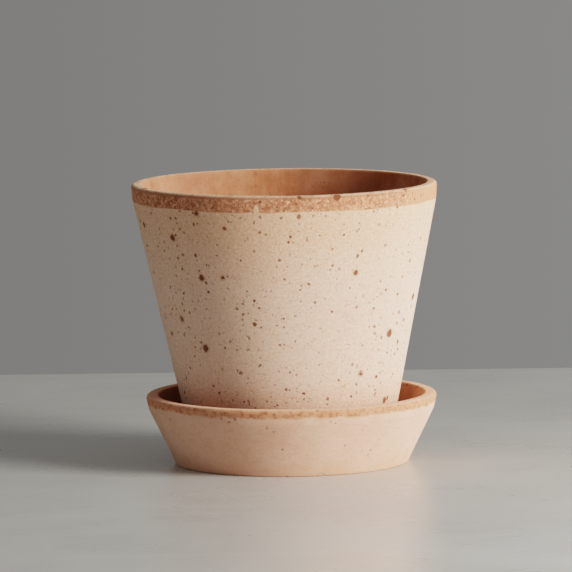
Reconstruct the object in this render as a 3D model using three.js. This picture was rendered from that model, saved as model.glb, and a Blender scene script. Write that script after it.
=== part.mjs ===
// A plant pot of fired clay standing in its own saucer. Both are turned by hand and not quite true:
// the pot leans a little to the left, and it stands a little off the middle of its saucer.
// Millimetres, +Z up, +X to the right. The origin is under the middle of the pot's rim, in the plane of
// the saucer's underside, where the set meets the table.
import * as THREE from "three";
import { mergeVertices } from "three/addons/utils/BufferGeometryUtils.js";

// The set as a whole
const TOTAL_HEIGHT = 129.0;
const SEAT_GAP = 0.3; // air left between the pot's base and the saucer's floor
const POT_LEAN = 1.9; // the middle of the pot's base stands this far right of the middle of its rim
const SAUCER_SHIFT = 2.3; // and the middle of the saucer this far
const TURN_STEPS = 96; // flats round one full turn
const ARC_STEP = Math.PI / 6; // the largest bend at one point of a rounded corner

// Saucer
const SAUCER_BASE_RADIUS = 53.2;
const SAUCER_RIM_RADIUS = 67.2;
const SAUCER_HEIGHT = 32.0;
const SAUCER_BAND_HEIGHT = 7.0; // below the lip the wall stands steeper than further down
const SAUCER_BAND_TAPER = 1.6;
const SAUCER_BAND_ROUND = 8.0;
const SAUCER_FLOOR = 6.0;
const SAUCER_WALL = 6.2; // measured level, not square to the slope
const SAUCER_RIM_ROUND_OUT = 1.8;
const SAUCER_RIM_ROUND_IN = 1.6;
const SAUCER_FOOT_ROUND = 1.2;
const SAUCER_INNER_ROUND = 4.0;

// Pot
const POT_BASE_Z = SAUCER_FLOOR + SEAT_GAP;
const POT_BASE_RADIUS = 45.1;
const POT_RIM_RADIUS = 70.1;
const POT_BAND_HEIGHT = 7.5; // the trimmed band under the rim stands almost upright
const POT_BAND_TAPER = 0.45;
const POT_WALL_TOP = 5.2;
const POT_WALL_FOOT = 6.2;
const POT_FLOOR = 7.0;
const POT_RIM_ROUND_OUT = 1.6;
const POT_RIM_ROUND_IN = 1.4;
const POT_FOOT_ROUND = 2.0;
const POT_INNER_ROUND = 6.0;
const DRAIN_RADIUS = 9.0;
const DRAIN_EDGE_ROUND = 1.0;

const clay = (name, color, roughness) =>
  new THREE.MeshStandardMaterial({ name, color, roughness, metalness: 0 });

// One corner of a profile: distance from the axis, height, and the radius it is rounded to.
const corner = (r, z, round = 0) => ({ at: new THREE.Vector2(r, z), round });

// The short run of points that replaces a corner by an arc touching both its sides.
function arcAt(before, here, after) {
  if (here.round === 0) return [here.at];
  const back = before.at.clone().sub(here.at).normalize();
  const ahead = after.at.clone().sub(here.at).normalize();
  const half = Math.acos(back.dot(ahead)) / 2;
  const middle = back.clone().add(ahead).normalize();
  const centre = here.at.clone().addScaledVector(middle, here.round / Math.sin(half));
  const touch = here.at.clone().addScaledVector(back, here.round / Math.tan(half));
  const spoke = touch.sub(centre);
  const bend = (Math.PI - 2 * half) * Math.sign(ahead.cross(back));
  const steps = Math.max(2, Math.ceil(Math.abs(bend) / ARC_STEP));
  return Array.from({ length: steps + 1 }, (_, i) =>
    spoke.clone().rotateAround(new THREE.Vector2(), (bend * i) / steps).add(centre)
  );
}

// Turns a closed profile round the vertical axis into one solid ring or dish, then sets it in place.
function turned(name, corners, material, place) {
  const count = corners.length;
  const outline = corners.flatMap((here, i) =>
    arcAt(corners[(i + count - 1) % count], here, corners[(i + 1) % count])
  );
  const onAxis = outline[0].x === 0;
  if (!onAxis) outline.push(outline[0].clone());
  const geometry = new THREE.LatheGeometry(outline, TURN_STEPS);
  geometry.deleteAttribute("uv");
  geometry.deleteAttribute("normal");
  const welded = mergeVertices(geometry.rotateX(Math.PI / 2).applyMatrix4(place), 1e-5);
  welded.computeVertexNormals();
  const mesh = new THREE.Mesh(welded, material);
  mesh.name = name;
  return mesh;
}

// The dish: a flat floor and a flared wall that steepens into a thick rounded lip.
function makeSaucer() {
  const bandZ = SAUCER_HEIGHT - SAUCER_BAND_HEIGHT;
  const bandRadius = SAUCER_RIM_RADIUS - SAUCER_BAND_TAPER;
  const flare = (bandRadius - SAUCER_BASE_RADIUS) / bandZ;
  const innerFloor = SAUCER_BASE_RADIUS + flare * SAUCER_FLOOR - SAUCER_WALL;
  const corners = [
    corner(0, 0),
    corner(SAUCER_BASE_RADIUS, 0, SAUCER_FOOT_ROUND),
    corner(bandRadius, bandZ, SAUCER_BAND_ROUND),
    corner(SAUCER_RIM_RADIUS, SAUCER_HEIGHT, SAUCER_RIM_ROUND_OUT),
    corner(SAUCER_RIM_RADIUS - SAUCER_WALL, SAUCER_HEIGHT, SAUCER_RIM_ROUND_IN),
    corner(innerFloor, SAUCER_FLOOR, SAUCER_INNER_ROUND),
    corner(0, SAUCER_FLOOR),
  ];
  const place = new THREE.Matrix4().makeTranslation(SAUCER_SHIFT, 0, 0);
  return turned("saucer", corners, clay("saucer_clay", 0xc4946f, 0.9), place);
}

// Slides each level of the pot sideways, from nothing at the rim to the full lean at the base.
function leaning() {
  const slope = POT_LEAN / (TOTAL_HEIGHT - POT_BASE_Z);
  return new THREE.Matrix4().set(1, 0, -slope, slope * TOTAL_HEIGHT, 0, 1, 0, 0, 0, 0, 1, 0, 0, 0, 0, 1);
}

// The pot: a flared wall, an upright band under the rim, and a floor with one drain hole.
function makePot() {
  const bandZ = TOTAL_HEIGHT - POT_BAND_HEIGHT;
  const bandRadius = POT_RIM_RADIUS - POT_BAND_TAPER;
  const floorZ = POT_BASE_Z + POT_FLOOR;
  const flare = (bandRadius - POT_BASE_RADIUS) / (bandZ - POT_BASE_Z);
  const innerFloor = POT_BASE_RADIUS + flare * POT_FLOOR - POT_WALL_FOOT;
  const corners = [
    corner(DRAIN_RADIUS, POT_BASE_Z, DRAIN_EDGE_ROUND),
    corner(POT_BASE_RADIUS, POT_BASE_Z, POT_FOOT_ROUND),
    corner(bandRadius, bandZ),
    corner(POT_RIM_RADIUS, TOTAL_HEIGHT, POT_RIM_ROUND_OUT),
    corner(POT_RIM_RADIUS - POT_WALL_TOP, TOTAL_HEIGHT, POT_RIM_ROUND_IN),
    corner(innerFloor, floorZ, POT_INNER_ROUND),
    corner(DRAIN_RADIUS, floorZ, DRAIN_EDGE_ROUND),
  ];
  return turned("pot", corners, clay("pot_clay", 0xdcc3a6, 0.95), leaning());
}

const part = new THREE.Group();
part.name = "terracotta_pot";
part.add(makeSaucer(), makePot());

export default part;
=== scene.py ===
# %% [markdown]
# # A terracotta pot in its saucer
#
# This script dresses a simple model of a plant pot for the camera. The pot and its saucer come in as
# plain turned solids, the *frame*. Here each gets a finer body of its own and a fired-clay finish, and
# then a table, lights and a camera are set around it. The cells are short and run from top to bottom.

# %% Load the frame
import math

import bpy
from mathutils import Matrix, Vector


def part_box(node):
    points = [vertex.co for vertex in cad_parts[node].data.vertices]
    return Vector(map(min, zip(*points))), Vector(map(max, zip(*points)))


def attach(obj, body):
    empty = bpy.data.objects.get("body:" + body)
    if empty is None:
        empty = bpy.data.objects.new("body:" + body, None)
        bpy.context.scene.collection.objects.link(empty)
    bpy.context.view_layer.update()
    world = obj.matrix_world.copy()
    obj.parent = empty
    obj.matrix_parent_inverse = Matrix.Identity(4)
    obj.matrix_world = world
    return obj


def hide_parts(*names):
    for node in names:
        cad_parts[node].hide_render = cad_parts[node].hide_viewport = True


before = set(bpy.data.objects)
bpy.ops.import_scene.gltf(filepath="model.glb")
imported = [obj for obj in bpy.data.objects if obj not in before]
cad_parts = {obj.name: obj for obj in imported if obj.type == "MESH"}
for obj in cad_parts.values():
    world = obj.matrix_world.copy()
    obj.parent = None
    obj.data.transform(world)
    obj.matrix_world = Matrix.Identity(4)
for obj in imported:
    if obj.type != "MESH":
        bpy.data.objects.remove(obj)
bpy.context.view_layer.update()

# %% [markdown]
# ## Sizes
#
# Outer sizes are read from the frame, so the fine bodies can't drift away from it. What a box can't
# tell, such as the wall's thickness or how far a corner is eased, is given here in millimetres, the
# unit a potter works in. Blender's own unit is the metre, hence `MM`.

# %% Read the outer sizes from the frame
MM = 0.001

pot_low, pot_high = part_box("pot")
saucer_low, saucer_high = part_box("saucer")

POT_TOP = pot_high.z / MM
POT_BOTTOM = pot_low.z / MM
POT_RIM = (pot_high.x - pot_low.x) / 2 / MM
POT_LEAN = 1.9  # the middle of the base stands this far right of the middle of the rim

SAUCER_TOP = saucer_high.z / MM
SAUCER_RIM = (saucer_high.x - saucer_low.x) / 2 / MM
SAUCER_MIDDLE = (saucer_high.x + saucer_low.x) / 2 / MM

print(f"pot {POT_RIM * 2:.1f} mm wide and {POT_TOP - POT_BOTTOM:.1f} mm high")
print(f"saucer {SAUCER_RIM * 2:.1f} mm wide and {SAUCER_TOP:.1f} mm high")

# %% [markdown]
# ## Turning an outline
#
# Both pieces are bodies of revolution, so they are made the potter's way: half of the outline is drawn
# and turned about the upright axis. Pushing a cylinder into shape ring by ring would work too, but an
# outline shows at a glance what the wall does. It is drawn as by hand, with one vertex that is extruded
# from corner to corner. Where a corner is eased, the vertex is spun about the middle of the arc.

# %% Step in and out of edit mode
def edit(piece, select_mode="EDGE"):
    bpy.ops.object.select_all(action="DESELECT")
    bpy.context.view_layer.objects.active = piece
    piece.select_set(True)
    bpy.ops.object.mode_set(mode="EDIT")
    bpy.ops.mesh.select_mode(type=select_mode)
    bpy.ops.mesh.select_all(action="SELECT")


def leave():
    bpy.ops.object.mode_set(mode="OBJECT")


# %% Draw an outline with eased corners
ARC_STEPS_PER_TURN = 44


def flat(point):
    """A point of the outline, given as distance from the axis and height, in Blender's space."""
    return Vector((point[0], 0, point[1])) * MM


def arc_at(before, corner, after, radius):
    """The start, end, middle and bend of the arc that eases one corner."""
    here = flat(corner)
    back = (flat(before) - here).normalized()
    ahead = (flat(after) - here).normalized()
    half = back.angle(ahead) / 2
    reach = radius * MM / math.tan(half)
    middle = here + (back + ahead).normalized() * (radius * MM / math.sin(half))
    bend = math.copysign(math.pi - 2 * half, back.cross(ahead).y)
    return here + back * reach, here + ahead * reach, middle, bend


def draw_outline(name, corners):
    """corners: distance from the axis, height, and the radius that the corner is eased to."""
    bpy.ops.object.select_all(action="DESELECT")
    bpy.ops.mesh.primitive_plane_add(size=MM, location=(0, 0, 0))
    piece = bpy.context.object
    piece.name = piece.data.name = name
    edit(piece, "VERT")
    bpy.ops.mesh.merge(type="CENTER")
    pen = flat(corners[0])
    bpy.ops.transform.translate(value=pen)
    for i, corner in enumerate(corners[1:], start=1):
        target = flat(corner)
        eased = corner[2] > 0
        if eased:
            target, arc_end, middle, bend = arc_at(corners[i - 1], corner, corners[i + 1], corner[2])
        bpy.ops.mesh.extrude_region_move(TRANSFORM_OT_translate={"value": target - pen})
        pen = target
        if eased:
            steps = max(2, round(abs(bend) / math.tau * ARC_STEPS_PER_TURN))
            bpy.ops.mesh.spin(steps=steps, angle=bend, center=middle, axis=(0, 1, 0))
            pen = arc_end
    leave()
    return piece


# %% [markdown]
# The long straight stretches are then cut into short ones, because a wall can only be uneven where it
# has vertices. How short depends on what is seen: about 1 mm on the walls, more on the floors.

# %% Cut the long stretches and turn the outline
TURN_STEPS = 288  # one step is 1.5 mm at the pot's rim
SAME_PLACE = 1e-7  # metres
WELD = 1e-6


def cut_outline(piece, step, far_step, near_radius):
    """Cuts edges to step, or to far_step where they lie within near_radius of the axis."""
    mesh = piece.data
    wanted = {}
    for edge in mesh.edges:
        a, b = (mesh.vertices[i].co for i in edge.vertices)
        longest = (far_step if min(a.x, b.x) < near_radius * MM else step) * MM
        cuts = math.ceil((a - b).length / longest) - 1
        if cuts > 0:
            wanted.setdefault(cuts, []).append((a + b) / 2)
    for cuts, middles in wanted.items():
        edit(piece)
        bpy.ops.mesh.select_all(action="DESELECT")
        leave()
        for edge in mesh.edges:
            a, b = (mesh.vertices[i].co for i in edge.vertices)
            edge.select = any(((a + b) / 2 - middle).length < SAME_PLACE for middle in middles)
        bpy.ops.object.mode_set(mode="EDIT")
        bpy.ops.mesh.subdivide(number_cuts=cuts)
        leave()


def turn(piece):
    edit(piece)
    bpy.ops.mesh.spin(steps=TURN_STEPS, angle=math.tau, center=(0, 0, 0), axis=(0, 0, 1))
    bpy.ops.mesh.select_all(action="SELECT")
    bpy.ops.mesh.remove_doubles(threshold=WELD)
    bpy.ops.mesh.normals_make_consistent(inside=False)
    leave()
    bpy.ops.object.shade_smooth()
    print(f"{piece.name}: {len(piece.data.polygons)} faces")


# %% [markdown]
# ## A hand-made surface
#
# Fired clay is never quite true: the wall swells and sinks by a few tenths of a millimetre, and the rim
# waves a little. A Displace modifier with a soft cloud texture does that to real vertices, so it shows
# in the silhouette too. It only pushes inwards, which keeps the piece inside its frame, and a vertex
# group leaves the faces that stand on something flat.

# %% Make a wall slightly uneven
FOOT_FADE = 6  # the wall is fully uneven this far above its foot


def uneven(piece, depth, swell, stands_at):
    """depth: how far the wall may sink; swell: how big one swelling is; stands_at: the foot's height."""
    group = piece.vertex_groups.new(name="off the ground")
    for vertex in piece.data.vertices:
        rise = (vertex.co.z / MM - stands_at) / FOOT_FADE
        group.add([vertex.index], min(1, max(0, rise)), "REPLACE")
    clouds = bpy.data.textures.new(piece.name + "_swell", "CLOUDS")
    clouds.noise_scale = swell * MM
    clouds.noise_depth = 1
    push = piece.modifiers.new("uneven", "DISPLACE")
    push.texture = clouds
    push.texture_coords = "LOCAL"
    push.vertex_group = group.name
    push.strength = depth * MM
    push.mid_level = 1
    bpy.ops.object.select_all(action="DESELECT")
    bpy.context.view_layer.objects.active = piece
    bpy.ops.object.modifier_apply(modifier=push.name)
    bpy.ops.object.vertex_group_remove(all=True)


# %% [markdown]
# ## The saucer
#
# The real saucer is a shallow dish with a flat floor. Its wall flares, then steepens for the last
# 7 mm into a thick rounded lip. The outline runs from the middle of the underside, up the outside,
# over the lip and down to the middle of the floor.

# %% Turn the saucer
SAUCER_BASE = 53.2
SAUCER_BAND = 7.0
SAUCER_LIP_OVER = 0.45  # the corner of the lip lies this far outside its rounding
SAUCER_BAND_TAPER = 1.6
SAUCER_WALL = 6.2
SAUCER_FLOOR = 6.0

saucer_band_z = SAUCER_TOP - SAUCER_BAND
saucer_corner = SAUCER_RIM + SAUCER_LIP_OVER
saucer_band_r = saucer_corner - SAUCER_BAND_TAPER
saucer_flare = (saucer_band_r - SAUCER_BASE) / saucer_band_z
saucer_floor_r = SAUCER_BASE + saucer_flare * SAUCER_FLOOR - SAUCER_WALL

saucer = draw_outline(
    "fired_saucer",
    [
        (0, 0, 0),
        (SAUCER_BASE, 0, 1.2),
        (saucer_band_r, saucer_band_z, 8.0),
        (saucer_corner, SAUCER_TOP, 1.8),
        (saucer_corner - SAUCER_WALL, SAUCER_TOP, 1.6),
        (saucer_floor_r, SAUCER_FLOOR, 4.0),
        (0, SAUCER_FLOOR, 0),
    ],
)
cut_outline(saucer, step=1.0, far_step=2.4, near_radius=46)
turn(saucer)
uneven(saucer, depth=0.25, swell=38, stands_at=0)

edit(saucer)
bpy.ops.transform.translate(value=(SAUCER_MIDDLE * MM, 0, 0))
leave()

# %% [markdown]
# ## The pot
#
# The pot is a flared wall with a floor and one drainage hole. Under the rim the wall stands almost
# upright for 7.5 mm, where the potter trimmed it. The outline starts at the hole and closes on itself
# there, so the ring that it makes has no open edge. At last each level is slid sideways, which gives
# the slight lean of a pot that came off the wheel by hand: nothing at the rim, all of it at the base.

# %% Turn the pot
POT_BASE = 45.1
POT_CORNER_OVER = 0.1
POT_BAND = 7.5
POT_BAND_TAPER = 0.45
POT_WALL_TOP = 5.2
POT_WALL_FOOT = 6.2
POT_FLOOR = 7.0
DRAIN = 9.0
DRAIN_SEAM = 2.0  # the outline starts and ends this far up the side of the hole

pot_band_z = POT_TOP - POT_BAND
pot_corner = POT_RIM + POT_CORNER_OVER
pot_band_r = pot_corner - POT_BAND_TAPER
pot_flare = (pot_band_r - POT_BASE) / (pot_band_z - POT_BOTTOM)
pot_floor_z = POT_BOTTOM + POT_FLOOR
pot_floor_r = POT_BASE + pot_flare * POT_FLOOR - POT_WALL_FOOT

pot = draw_outline(
    "fired_pot",
    [
        (DRAIN, POT_BOTTOM + DRAIN_SEAM, 0),
        (DRAIN, POT_BOTTOM, 1.0),
        (POT_BASE, POT_BOTTOM, 2.0),
        (pot_band_r, pot_band_z, 0),
        (pot_corner, POT_TOP, 1.6),
        (pot_corner - POT_WALL_TOP, POT_TOP, 1.4),
        (pot_floor_r, pot_floor_z, 6.0),
        (DRAIN, pot_floor_z, 1.0),
        (DRAIN, POT_BOTTOM + DRAIN_SEAM, 0),
    ],
)
cut_outline(pot, step=1.15, far_step=2.4, near_radius=36)
turn(pot)
uneven(pot, depth=0.28, swell=55, stands_at=POT_BOTTOM)

# %% Let the pot lean
def lean_at(height):
    return POT_LEAN * (POT_TOP - height) / (POT_TOP - POT_BOTTOM)


for vertex in pot.data.vertices:
    vertex.co.x += lean_at(vertex.co.z / MM) * MM

# %% [markdown]
# ## Shader maths that reads like maths
#
# A material is a network of nodes, and sums of sockets are tedious to wire one by one. `Wire` wraps an
# output socket, so that `1 - mask * 0.5` in Python adds the Math nodes for it. `add_node` makes any other
# kind of node from its settings and sockets, and `Recipe` holds one material while it is mixed.

# %% A socket that can be reckoned with
def join(source, socket):
    """Puts a number, colour or wire into a socket."""
    if isinstance(source, Wire):
        source.tree.links.new(source.socket, socket)
    else:
        socket.default_value = source


class Wire:
    def __init__(self, socket):
        self.socket = socket
        self.tree = socket.id_data

    def through(self, operation, *operands, clamp=False):
        node = self.tree.nodes.new("ShaderNodeMath")
        node.operation = operation
        node.use_clamp = clamp
        for operand, socket in zip(operands, node.inputs):
            join(operand, socket)
        return Wire(node.outputs[0])

    def __add__(self, other):
        return self.through("ADD", self, other)

    def __sub__(self, other):
        return self.through("SUBTRACT", self, other)

    def __rsub__(self, other):
        return self.through("SUBTRACT", other, self)

    def __mul__(self, other):
        return self.through("MULTIPLY", self, other)

    def __truediv__(self, other):
        return self.through("DIVIDE", self, other)

    def __pow__(self, other):
        return self.through("POWER", self, other)

    def __abs__(self):
        return self.through("ABSOLUTE", self)

    def clamped(self):
        return self.through("ADD", self, 0, clamp=True)

    def most(self, other):
        return self.through("MAXIMUM", self, other)

    def least(self, other):
        return self.through("MINIMUM", self, other)

    def below(self, other):
        """1 where this is less than the other, 0 elsewhere."""
        return self.through("LESS_THAN", self, other)


# %% A node of any other kind
def add_node(tree, kind, settings, sockets, out=0):
    """Gives the output named or numbered out, or with out=None the node itself."""
    node = tree.nodes.new(kind)
    for name, setting in settings.items():
        setattr(node, name, setting)
    for name, source in sockets.items():
        join(source, node.inputs[name])
    return node if out is None else Wire(node.outputs[out])


# %% One material while it is mixed
MIX_FACTOR, MIX_FIRST, MIX_SECOND, MIX_COLOUR = 0, 6, 7, 2  # places of the Mix node's colour sockets
CHALKY = 0.6
CLAY_SHINE = 0.3


class Recipe:
    def __init__(self, name):
        self.material = bpy.data.materials.new(name)
        self.material.use_nodes = True
        self.tree = self.material.node_tree
        self.shader = self.tree.nodes["Principled BSDF"]
        place = self.add("ShaderNodeTexCoord", {}, {}, out="Object")
        # everything below is reckoned in millimetres
        self.place = self.vector("SCALE", place, scale=1 / MM)
        self.parts = self.add("ShaderNodeSeparateXYZ", {}, {"Vector": self.place}, out=None)

    def add(self, kind, settings, sockets, out=0):
        return add_node(self.tree, kind, settings, sockets, out)

    def axis(self, name):
        return Wire(self.parts.outputs[name])

    def vector(self, operation, first, second=None, scale=None):
        sockets = {0: first}
        if second is not None:
            sockets[1] = second
        if scale is not None:
            sockets["Scale"] = scale
        return self.add("ShaderNodeVectorMath", {"operation": operation}, sockets)

    def ramp(self, value, low, high, start=0.0, end=1.0):
        """Runs smoothly from start to end while value runs from low to high."""
        sockets = {"Value": value, "From Min": low, "From Max": high, "To Min": start, "To Max": end}
        settings = {"interpolation_type": "SMOOTHSTEP"}
        return self.add("ShaderNodeMapRange", settings, sockets)

    def blend(self, mask, first, second):
        """The first colour where the mask is 0, the second where it is 1."""
        settings = {"data_type": "RGBA", "clamp_factor": True}
        sockets = {MIX_FACTOR: mask, MIX_FIRST: first, MIX_SECOND: second}
        return self.add("ShaderNodeMix", settings, sockets, out=MIX_COLOUR)

    def noise(self, size, detail=2.0, rough=0.5, at=None, shift=0.0, out="Fac"):
        """Clouds about size millimetres across, between 0 and 1."""
        at = at or self.place
        if shift:
            at = self.vector("ADD", at, (shift, -shift, shift))
        sockets = {"Vector": at, "Scale": 1 / size, "Detail": detail, "Roughness": rough}
        return self.add("ShaderNodeTexNoise", {}, sockets, out=out)

    def stretched(self, across, up):
        """The place, squeezed so that a pattern grows along one direction of the wall."""
        return self.vector("MULTIPLY", self.place, (across, across, up))

    def crooked(self, strength):
        """The place, bent a little, so that no speck is a perfect disc."""
        bent = self.noise(1.6, 2, 0.5, out="Color")
        bent = self.vector("SUBTRACT", bent, (0.5, 0.5, 0.5))
        bent = self.vector("SCALE", bent, scale=strength)
        return self.vector("ADD", self.place, bent)

    def finish(self, colour, roughness, height):
        """height: relief in millimetres."""
        bump = self.add("ShaderNodeBump", {}, {"Distance": MM, "Height": height}, out="Normal")
        join(colour, self.shader.inputs["Base Color"])
        join(roughness, self.shader.inputs["Roughness"])
        join(bump, self.shader.inputs["Normal"])
        self.shader.inputs["Diffuse Roughness"].default_value = CHALKY
        self.shader.inputs["Specular IOR Level"].default_value = CLAY_SHINE
        print(f"{self.material.name}: {len(self.tree.nodes)} nodes")
        return self.material


# %% [markdown]
# ## Fired clay, slip and iron
#
# Three things make this finish. The *body* is red clay that fires to terracotta. Over it lies a *slip*,
# a thin cream wash of white clay that dries chalky, thicker on the pot than on the saucer. And the clay
# holds ground *iron* that melts in the kiln and bleeds through as rust-brown specks.
#
# Specks could be painted on one by one, but then each would need a place of its own. Here they are
# noise in the clay itself: a speck is a little ball hidden in the body, and it shows where the wall
# happens to cut through it. So they cover front, back and inside alike, and no two layers match.

# %% Ground iron in the clay
def scatter(recipe, at, cell, radius):
    """For the nearest grain: how far it is, its radius, and two numbers drawn for it (0 to 1)."""
    sockets = {"Vector": at, "Scale": 1 / cell, "Randomness": 1.0}
    grains = recipe.add("ShaderNodeTexVoronoi", {}, sockets, out=None)
    distance = Wire(grains.outputs["Distance"]) * cell
    sockets = {"Color": Wire(grains.outputs["Color"])}
    luck = recipe.add("ShaderNodeSeparateColor", {}, sockets, out=None)
    size = (Wire(luck.outputs["Red"]) ** 1.6 * 0.75 + 0.25) * radius
    return distance, size, Wire(luck.outputs["Green"]), Wire(luck.outputs["Blue"])


def specks(recipe, at, cell, radius, share, edge, cluster=1.0):
    """Specks up to radius, one in each cell at most, in only a share of the cells (0 to 1)."""
    distance, size, draw, tone = scatter(recipe, at, cell, radius)
    return recipe.ramp(size - distance, -edge, edge) * draw.below(cluster * share), tone


def big_spots(recipe, at, cell, radius, share):
    """How deep a place lies in the nearest big spot: 1 in its middle, 0 at its edge, -1 far away."""
    distance, size, draw, _ = scatter(recipe, at, cell, radius)
    return (2 - distance / size).most(0) * draw.below(share) - 1


# %% [markdown]
# ### The pot's finish
#
# The slip covers the outer wall up to the trimmed band, where it was wiped thin and the red clay shows
# through in a fine crackle. The band is rubbed smooth at the front right, its upper edge is darker, and
# in one place a notch of slip runs up into it. The flat of the rim kept some slip. The inside is bare.
# How far a place lies under the outer face tells outside from inside, and its height tells the band
# from the wall. Each layer is mixed by a function of its own, and the last one lays them over each other.

# %% Colours of clay, slip and iron
CLAY_RED = (0.52, 0.205, 0.098, 1)
CLAY_DARK = (0.30, 0.11, 0.055, 1)
CLAY_PALE = (0.66, 0.345, 0.205, 1)
CLAY_DUSTY = (0.67, 0.355, 0.245, 1)
BAND_PALE = (0.68, 0.32, 0.19, 1)
BAND_FROST = (0.80, 0.475, 0.33, 1)
BAND_RED = (0.40, 0.15, 0.08, 1)
SLIP_CHALK = (0.90, 0.70, 0.58, 1)
SLIP_CREAM = (0.83, 0.595, 0.46, 1)
SLIP_PINK = (0.825, 0.58, 0.46, 1)
SLIP_YELLOW = (0.825, 0.585, 0.43, 1)
SLIP_WARM = (0.80, 0.51, 0.345, 1)
IRON = (0.235, 0.078, 0.038, 1)
IRON_BLEED = (0.53, 0.265, 0.145, 1)


def axis_distance(recipe, middle):
    """How far a place lies from the piece's own axis."""
    across = recipe.axis("X") - middle
    along = recipe.axis("Y")
    return (across * across + along * along) ** 0.5


# %% The bare body of the pot
def pot_body(clay):
    """Soft clouds of paler and darker red, drawn up the wall by the maker's fingers, and painted shade
    inside.
    """
    streaked = clay.stretched(4, 0.35)
    body = clay.blend(clay.ramp(clay.noise(16, 4, 0.6), 0.35, 0.7), CLAY_RED, CLAY_PALE)
    body = clay.blend(clay.ramp(clay.noise(9, 4, 0.6, at=streaked), 0.45, 0.75) * 0.5, body, CLAY_PALE)
    dusty = clay.ramp(clay.axis("X") + clay.noise(20, 3, 0.5, shift=5) * 30, 5, -50)
    body = clay.blend(dusty * 0.4, body, CLAY_DUSTY)
    # painted shade: darkens the bare clay inside the pot, right of the middle, where the inner wall lies
    # in shade from the window light
    painted_inner_shade = clay.ramp(clay.axis("X"), -8, 12) * clay.ramp(clay.axis("X"), 60, 32)
    body = clay.blend(painted_inner_shade * 0.45, body, CLAY_DARK)
    return clay.blend(clay.ramp(clay.noise(0.8, 3, 0.7), 0.5, 0.75) * 0.35, body, CLAY_DARK)


# %% The slip on the pot
def pot_slip(clay, height, grain, wipes):
    """Chalky cream with warm and pinkish clouds, faint wipe marks, and painted shade just above the
    saucer.
    """
    slip = clay.blend(clay.ramp(clay.noise(26, 3, 0.55), 0.38, 0.62), SLIP_CREAM, SLIP_PINK)
    yellower = clay.ramp(clay.noise(14, 3, 0.55, shift=40), 0.48, 0.72) * 0.7
    slip = clay.blend(yellower, slip, SLIP_YELLOW)
    near_band = clay.noise(30, 2, 0.5, shift=70) * 30 + height
    slip = clay.blend(clay.ramp(near_band, 95, 132) * 0.9, slip, SLIP_WARM)
    slip = clay.blend(clay.ramp(wipes, 0.48, 0.8) * 0.45, slip, CLAY_PALE)
    # painted shade: the slip darkens towards pale clay over the lowest part of the wall, just above the
    # saucer, where the saucer shades it
    slip = clay.blend(clay.ramp(height, 46, 30) * 0.4, slip, CLAY_PALE)
    slip = clay.blend(clay.ramp(grain, 0.5, 0.66) * 0.55, slip, CLAY_PALE)
    return clay.blend(clay.ramp(grain, 0.5, 0.32) * 0.8, slip, SLIP_CHALK)


# %% The edge of the slip, with its notch
NOTCH_LEFT = 12.5  # millimetres left of the pot's middle, on the front
NOTCH_RISE = 3.2
NOTCH_HALF_WIDTH = 1.6
NOTCH_FLAT = 0.6


def slip_edge(clay, height, edge_wave):
    """1 on the wall below the band, 0 on the band."""
    from_notch = abs(clay.axis("X") + NOTCH_LEFT)
    notch = clay.ramp(from_notch, NOTCH_HALF_WIDTH, NOTCH_FLAT) * clay.ramp(clay.axis("Y"), 0, -1)
    waved = height + edge_wave * 1.6 - notch * NOTCH_RISE
    return clay.ramp(waved, pot_band_z + 0.35, pot_band_z - 0.25)


# %% The band under the rim
def band_colour(clay, height, patches, edge_wave):
    """Frosted peach with a red crackle and blots, rubbed smooth at the front right."""
    network = clay.noise(3.2, 2, 0.6, shift=33) - 0.5
    network = clay.ramp(abs(network), 0.05, 0.015)
    blots = clay.ramp(clay.noise(2.2, 3, 0.7, shift=51), 0.5, 0.58)
    rubbed = clay.ramp(clay.noise(14, 3, 0.6, shift=77) * 44 + clay.axis("X"), 68, 84)
    rubbed = rubbed * clay.ramp(patches * 30 + clay.axis("Y"), 22, 2)
    reddish = (network * 0.8).most(blots * 0.95) * clay.ramp(patches, 0.25, 0.55, 1.0, 0.75)
    reddish = reddish * (1 - rubbed * 0.8)
    upper_edge = clay.ramp(height + edge_wave * 0.8, POT_TOP - 2.0, POT_TOP - 1.2) * (1 - rubbed)
    reddish = reddish.most(upper_edge * 0.7)
    frost = clay.ramp(clay.noise(1.3, 3, 0.7, shift=8), 0.5, 0.62) * (1 - rubbed)
    pale = clay.blend(frost, BAND_PALE, BAND_FROST)
    return clay.blend(reddish, pale, BAND_RED)


# %% The iron in the pot
def pot_iron(clay):
    """How dark the specks are, how deep a place lies in a big spot, and the paler bleed round both."""
    crooked = clay.crooked(1.3)
    crowd = clay.ramp(clay.noise(17, 2, 0.5, shift=25), 0.4, 0.62, 0.25, 1.0)
    small, small_tone = specks(clay, crooked, cell=2.7, radius=0.8, share=0.85, edge=0.18, cluster=crowd)
    fine, fine_tone = specks(clay, crooked, cell=1.7, radius=0.52, share=0.65, edge=0.16, cluster=crowd)
    larger, larger_tone = specks(clay, crooked, cell=6.5, radius=1.1, share=0.5, edge=0.25)
    shade = small * (small_tone * 0.55 + 0.35)
    shade = shade.most(fine * (fine_tone * 0.45 + 0.2))
    shade = shade.most(larger * (larger_tone * 0.4 + 0.55))
    big = big_spots(clay, crooked, cell=12, radius=2.3, share=0.9)
    big_core = clay.ramp(big, -0.02, 0.3)
    halo = clay.ramp(big, -0.6, 0.25) * 0.45
    return shade, big_core, halo.most(shade * 0.5)


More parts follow.
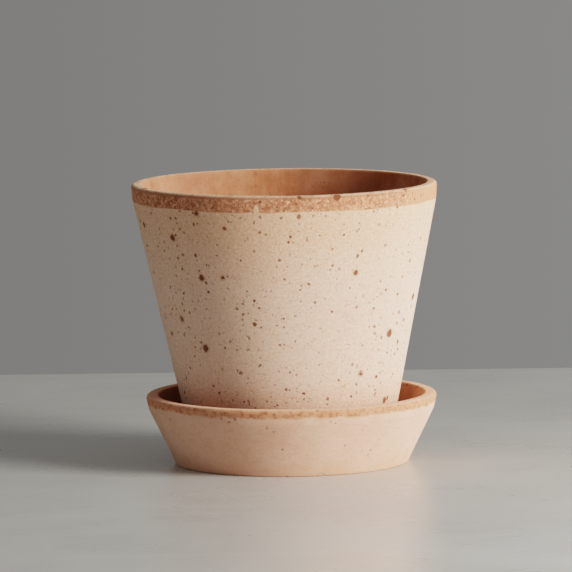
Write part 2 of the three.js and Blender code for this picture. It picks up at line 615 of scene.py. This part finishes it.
# %% Lay the pot's layers over each other
def pot_finish():
    clay = Recipe("slipped_terracotta")
    height = clay.axis("Z")
    lean = (POT_TOP - height) * (POT_LEAN / (POT_TOP - POT_BOTTOM))
    outer = (height - POT_BOTTOM) * pot_flare + POT_BASE
    depth = outer.least(pot_corner) - axis_distance(clay, lean)
    outside = clay.ramp(depth, POT_WALL_TOP, POT_WALL_TOP - 1.4)

    # patterns that several layers share
    grain = clay.noise(1.0, 4, 0.75)
    wipes = clay.noise(6, 5, 0.65, at=clay.stretched(1, 7))
    crackle = clay.noise(0.75, 5, 0.75, shift=15)
    patches = clay.noise(7, 3, 0.6, shift=60)
    edge_wave = clay.noise(12, 3, 0.6, shift=90) - 0.5

    # how thick the slip lies: full on the wall, a film on the band, a dusting on the rim, none inside
    on_wall = slip_edge(clay, height, edge_wave)
    film = clay.ramp(crackle + patches * 0.55, 0.78, 1.05) * 0.35
    on_top = clay.ramp(height, POT_TOP - 1.3, POT_TOP - 0.2)
    dust = clay.ramp(clay.noise(2.2, 5, 0.7), 0.25, 0.55) * 0.95
    cover = on_wall.most(film).most(on_top * dust) * outside
    band = (1 - on_wall) * outside * (1 - on_top * 0.7)
    body = clay.blend(band, pot_body(clay), band_colour(clay, height, patches, edge_wave))
    colour = clay.blend(cover, body, pot_slip(clay, height, grain, wipes))

    # the iron is duller inside, where no slip sets it off
    shade, big_core, bleed = pot_iron(clay)
    worn = outside * 0.75 + 0.25
    colour = clay.blend(bleed * worn, colour, IRON_BLEED)
    colour = clay.blend((big_core * 0.92).most(shade) * worn, colour, IRON)

    pits = big_core.most(shade)
    relief = cover * 0.12 + grain * 0.03 + wipes * 0.06 + crackle * band * 0.14 - pits * 0.12
    chalk = clay.ramp(clay.noise(5, 3, 0.6), 0.3, 0.7, 0.82, 0.95)
    return clay.finish(colour, chalk - pits * 0.15, relief)


pot.data.materials.append(pot_finish())

# %% [markdown]
# ### The saucer's finish
#
# The saucer had a thinner wash, so its wall stays peach. Only the lip was wiped back to speckled red,
# over 3 to 5 mm. The inside is bare, with painted shadow that darkens it towards the left, where the pot
# blocks the window light.

# %% Colours of the wash and the saucer's floor
WASH_PEACH = (0.785, 0.485, 0.355, 1)
WASH_PALE = (0.815, 0.53, 0.40, 1)
FLOOR_RED = (0.57, 0.285, 0.17, 1)
FLOOR_PALE = (0.66, 0.385, 0.26, 1)
LIP_PALE = (0.70, 0.34, 0.20, 1)
LIP_RED = (0.47, 0.175, 0.085, 1)


# %% The wash on the saucer
def saucer_wash(clay, height, grain, edge_wave):
    """Peach, with pale mottles drawn out round the wall and a paler foot."""
    wash = clay.blend(clay.ramp(clay.noise(18, 3, 0.55, shift=12), 0.36, 0.66), WASH_PEACH, WASH_PALE)
    wash = clay.blend(clay.ramp(grain, 0.5, 0.75) * 0.32, wash, CLAY_RED)
    wash = clay.blend(clay.ramp(grain, 0.5, 0.3) * 0.5, wash, SLIP_CREAM)
    mottles = clay.ramp(clay.noise(6, 4, 0.65, at=clay.stretched(1, 2), shift=27), 0.48, 0.7)
    wash = clay.blend(mottles * 0.3, wash, CLAY_PALE)
    foot = clay.ramp(height + edge_wave * 8, 10, 0) * 0.4
    return clay.blend(foot, wash, CLAY_PALE)


# %% The bare floor and lip of the saucer
def saucer_body(clay, outside):
    body = clay.blend(clay.ramp(clay.noise(14, 4, 0.6), 0.35, 0.7), FLOOR_RED, FLOOR_PALE)
    body = clay.blend(clay.ramp(clay.noise(0.8, 3, 0.7), 0.5, 0.75) * 0.35, body, CLAY_DARK)
    patches = clay.noise(8, 3, 0.6, shift=60)
    # painted shadow: the saucer's inside darkens towards the left, where the pot blocks the window light
    painted_shadow_left = clay.ramp(clay.axis("X") + patches * 30, 30, -30, 0.05, 0.7)
    body = clay.blend(painted_shadow_left, body, CLAY_DARK)
    blots = clay.ramp(clay.noise(2.6, 4, 0.75, shift=51), 0.44, 0.66)
    return clay.blend(outside, body, clay.blend(blots, LIP_PALE, LIP_RED)), patches


# %% The iron in the saucer
def saucer_iron(clay, height):
    """How dark the specks are. Most of them show near the lip, where the wash is thin."""
    crooked = clay.crooked(1.2)
    near_lip = clay.ramp(height, SAUCER_TOP - 9, SAUCER_TOP - 4, 0.25, 1.0)
    small, small_tone = specks(
        clay, crooked, cell=2.9, radius=0.75, share=0.75, edge=0.18, cluster=near_lip
    )
    larger, larger_tone = specks(clay, crooked, cell=8, radius=0.9, share=0.6, edge=0.2)
    return (small * (small_tone * 0.5 + 0.25)).most(larger * (larger_tone * 0.4 + 0.4))


# %% Lay the saucer's layers over each other
def saucer_finish():
    clay = Recipe("washed_terracotta")
    height = clay.axis("Z")
    outer = (height * saucer_flare + SAUCER_BASE).least(SAUCER_RIM)
    depth = outer - axis_distance(clay, SAUCER_MIDDLE)
    outside = clay.ramp(depth, SAUCER_WALL + 0.2, SAUCER_WALL - 1.6)

    grain = clay.noise(1.1, 4, 0.75)
    crackle = clay.noise(0.9, 5, 0.75, shift=15)
    edge_wave = clay.noise(7, 5, 0.7, shift=90) - 0.5
    body, patches = saucer_body(clay, outside)

    on_wall = clay.ramp(height + edge_wave * 4.5, SAUCER_TOP - 3.1, SAUCER_TOP - 4.7)
    film = clay.ramp(crackle + patches * 0.55, 0.7, 1.0) * 0.35
    on_top = clay.ramp(height, SAUCER_TOP - 1.0, SAUCER_TOP - 0.2)
    cover = on_wall.most(film).most(on_top * 0.7) * outside
    colour = clay.blend(cover, body, saucer_wash(clay, height, grain, edge_wave))

    shade = saucer_iron(clay, height)
    colour = clay.blend(shade * 0.5, colour, IRON_BLEED)
    colour = clay.blend(shade * 0.85, colour, IRON)

    relief = cover * 0.08 + grain * 0.05 + crackle * (1 - on_wall) * 0.12 - shade * 0.1
    chalk = clay.ramp(clay.noise(5, 3, 0.6), 0.3, 0.7, 0.8, 0.93)
    return clay.finish(colour, chalk - shade * 0.15, relief)


saucer.data.materials.append(saucer_finish())

# %% [markdown]
# ## Hand the pieces to the frame
#
# Each fine body stands for its plain node and moves with that node's body: the saucer stays, and the
# pot lifts out of it.

# %% Fasten the pieces
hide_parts("saucer")
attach(saucer, "saucer")
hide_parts("pot")
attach(pot, "pot")

# %% [markdown]
# ## Table and room
#
# The set stands on a pale smooth table in front of a plain grey room. It is a real slab with eased
# edges, because its far edge is in view. The room is the world colour, a little lighter to the right,
# and it also gives the soft fill that keeps the shaded side from going black.

# %% Lay the table
TABLE_BACK = 344
TABLE_FRONT = 1200
TABLE_HALF_WIDTH = 1100
TABLE_THICK = 30
TABLE_EASE = 4

table_middle = Vector((0, (TABLE_BACK - TABLE_FRONT) / 2, -TABLE_THICK / 2)) * MM
bpy.ops.object.select_all(action="DESELECT")
bpy.ops.mesh.primitive_cube_add(size=1, location=table_middle)
table = bpy.context.object
table.name = "table"
table.scale = (TABLE_HALF_WIDTH * 2 * MM, (TABLE_BACK + TABLE_FRONT) * MM, TABLE_THICK * MM)
bpy.ops.object.transform_apply(location=True, rotation=True, scale=True)
edit(table)
bpy.ops.mesh.bevel(offset=TABLE_EASE * MM, segments=4)
leave()

# %% Finish the table
STONE_GREY = (0.55, 0.545, 0.515, 1)
STONE_PALE = (0.60, 0.60, 0.57, 1)
STONE_STREAK = (0.66, 0.65, 0.62, 1)
STREAK_TURN = -0.5  # the faint streaks run across the table at a slant
STREAK_SQUEEZE = 0.12
STONE_SHINE = 0.5


def table_finish():
    stone = Recipe("pale_table")
    clouds = stone.noise(120, 4, 0.6)
    colour = stone.blend(stone.ramp(clouds, 0.3, 0.7), STONE_GREY, STONE_PALE)
    sockets = {
        "Vector": stone.place,
        "Rotation": (0, 0, STREAK_TURN),
        "Scale": (STREAK_SQUEEZE, 1, 1),
    }
    slanted = stone.add("ShaderNodeMapping", {}, sockets)
    streaks = stone.ramp(stone.noise(22, 3, 0.5, at=slanted), 0.5, 0.75)
    colour = stone.blend(streaks * 0.3, colour, STONE_STREAK)
    smooth = stone.ramp(stone.noise(60, 3, 0.6), 0.3, 0.7, 0.26, 0.32)
    finished = stone.finish(colour, smooth, stone.noise(140, 1, 0.3) * 0.03)
    stone.shader.inputs["Specular IOR Level"].default_value = STONE_SHINE
    stone.shader.inputs["Diffuse Roughness"].default_value = 0
    return finished


table.data.materials.append(table_finish())

# %% Colour the room
ROOM_LEFT = (0.176, 0.174, 0.169, 1)
ROOM_RIGHT = (0.213, 0.211, 0.206, 1)
ROOM_STEEP = 10  # how quickly one colour passes into the other

world = bpy.data.worlds.new("grey_room")
bpy.context.scene.world = world
world.use_nodes = True
room = world.node_tree
looking = add_node(room, "ShaderNodeTexCoord", {}, {}, out="Generated")
sideways = add_node(room, "ShaderNodeSeparateXYZ", {}, {"Vector": looking}, out="X")
to_right = (sideways * ROOM_STEEP + 0.5).clamped()
sockets = {MIX_FACTOR: to_right, MIX_FIRST: ROOM_LEFT, MIX_SECOND: ROOM_RIGHT}
wall = add_node(room, "ShaderNodeMix", {"data_type": "RGBA"}, sockets, out=MIX_COLOUR)
join(wall, room.nodes["Background"].inputs["Color"])

# %% [markdown]
# ## Light
#
# A wide window stands to the right and a little in front, so the right of the pot is bright, the left
# falls into shade, and a soft shadow runs off to the left. A low, near and slightly warm light beside it
# lifts the saucer. A faint, cool fill comes from the left.

# %% Set the lights
AIM = Vector((0.4, 0, 0.6275 * POT_TOP)) * MM  # lights and camera point here, just above the middle


def soft_light(name, round_from_front, elevation, distance, size, watts, colour):
    lamp = bpy.data.lights.new(name, "AREA")
    lamp.shape = "RECTANGLE"
    lamp.size, lamp.size_y = size
    lamp.energy = watts
    lamp.color = colour
    holder = bpy.data.objects.new(name, lamp)
    bpy.context.scene.collection.objects.link(holder)
    a, e = math.radians(round_from_front), math.radians(elevation)
    away = Vector((math.sin(a) * math.cos(e), -math.cos(a) * math.cos(e), math.sin(e)))
    holder.location = AIM + away * distance
    holder.rotation_euler = (-away).to_track_quat("-Z", "Y").to_euler()
    print(f"{name}: {watts} W from {distance} m")


soft_light("window", 62, 21, 1.5, (0.6, 0.6), 19.8, (0.98, 0.985, 0.96))
soft_light("near_window", 55, 8, 0.6, (0.3, 0.3), 2.3, (1.0, 0.93, 0.88))
soft_light("left_fill", -65, 10, 1.0, (0.6, 0.6), 0.48, (0.78, 0.95, 1.0))

# %% [markdown]
# ## Camera
#
# The camera stands far away with a long lens, about 6 degrees above the table, so the rim is a narrow
# ellipse and the walls hardly converge. The distance is given in heights of the set.

# %% Place the camera
SENSOR = 36
LENS = 427.1
DISTANCE = 24.1 * POT_TOP * MM
CAMERA_RISE = math.radians(6.25)
CAMERA_ROLL = math.radians(0.72)

camera_data = bpy.data.cameras.new("long_lens")
camera_data.sensor_width = SENSOR
camera_data.lens = LENS
camera_data.clip_end = 50
camera = bpy.data.objects.new("camera", camera_data)
bpy.context.scene.collection.objects.link(camera)
bpy.context.scene.camera = camera
back = Vector((0, -math.cos(CAMERA_RISE), math.sin(CAMERA_RISE)))
camera.location = AIM + back * DISTANCE + Vector((SAUCER_MIDDLE, 0, 0)) * MM
camera.rotation_euler = (AIM - camera.location).to_track_quat("-Z", "Y").to_euler()
camera.rotation_euler.rotate_axis("Z", -CAMERA_ROLL)

bpy.context.scene.view_settings.view_transform = "Filmic"
bpy.context.scene.view_settings.look = "High Contrast"
print(f"camera {camera.location.length:.2f} m from the set")
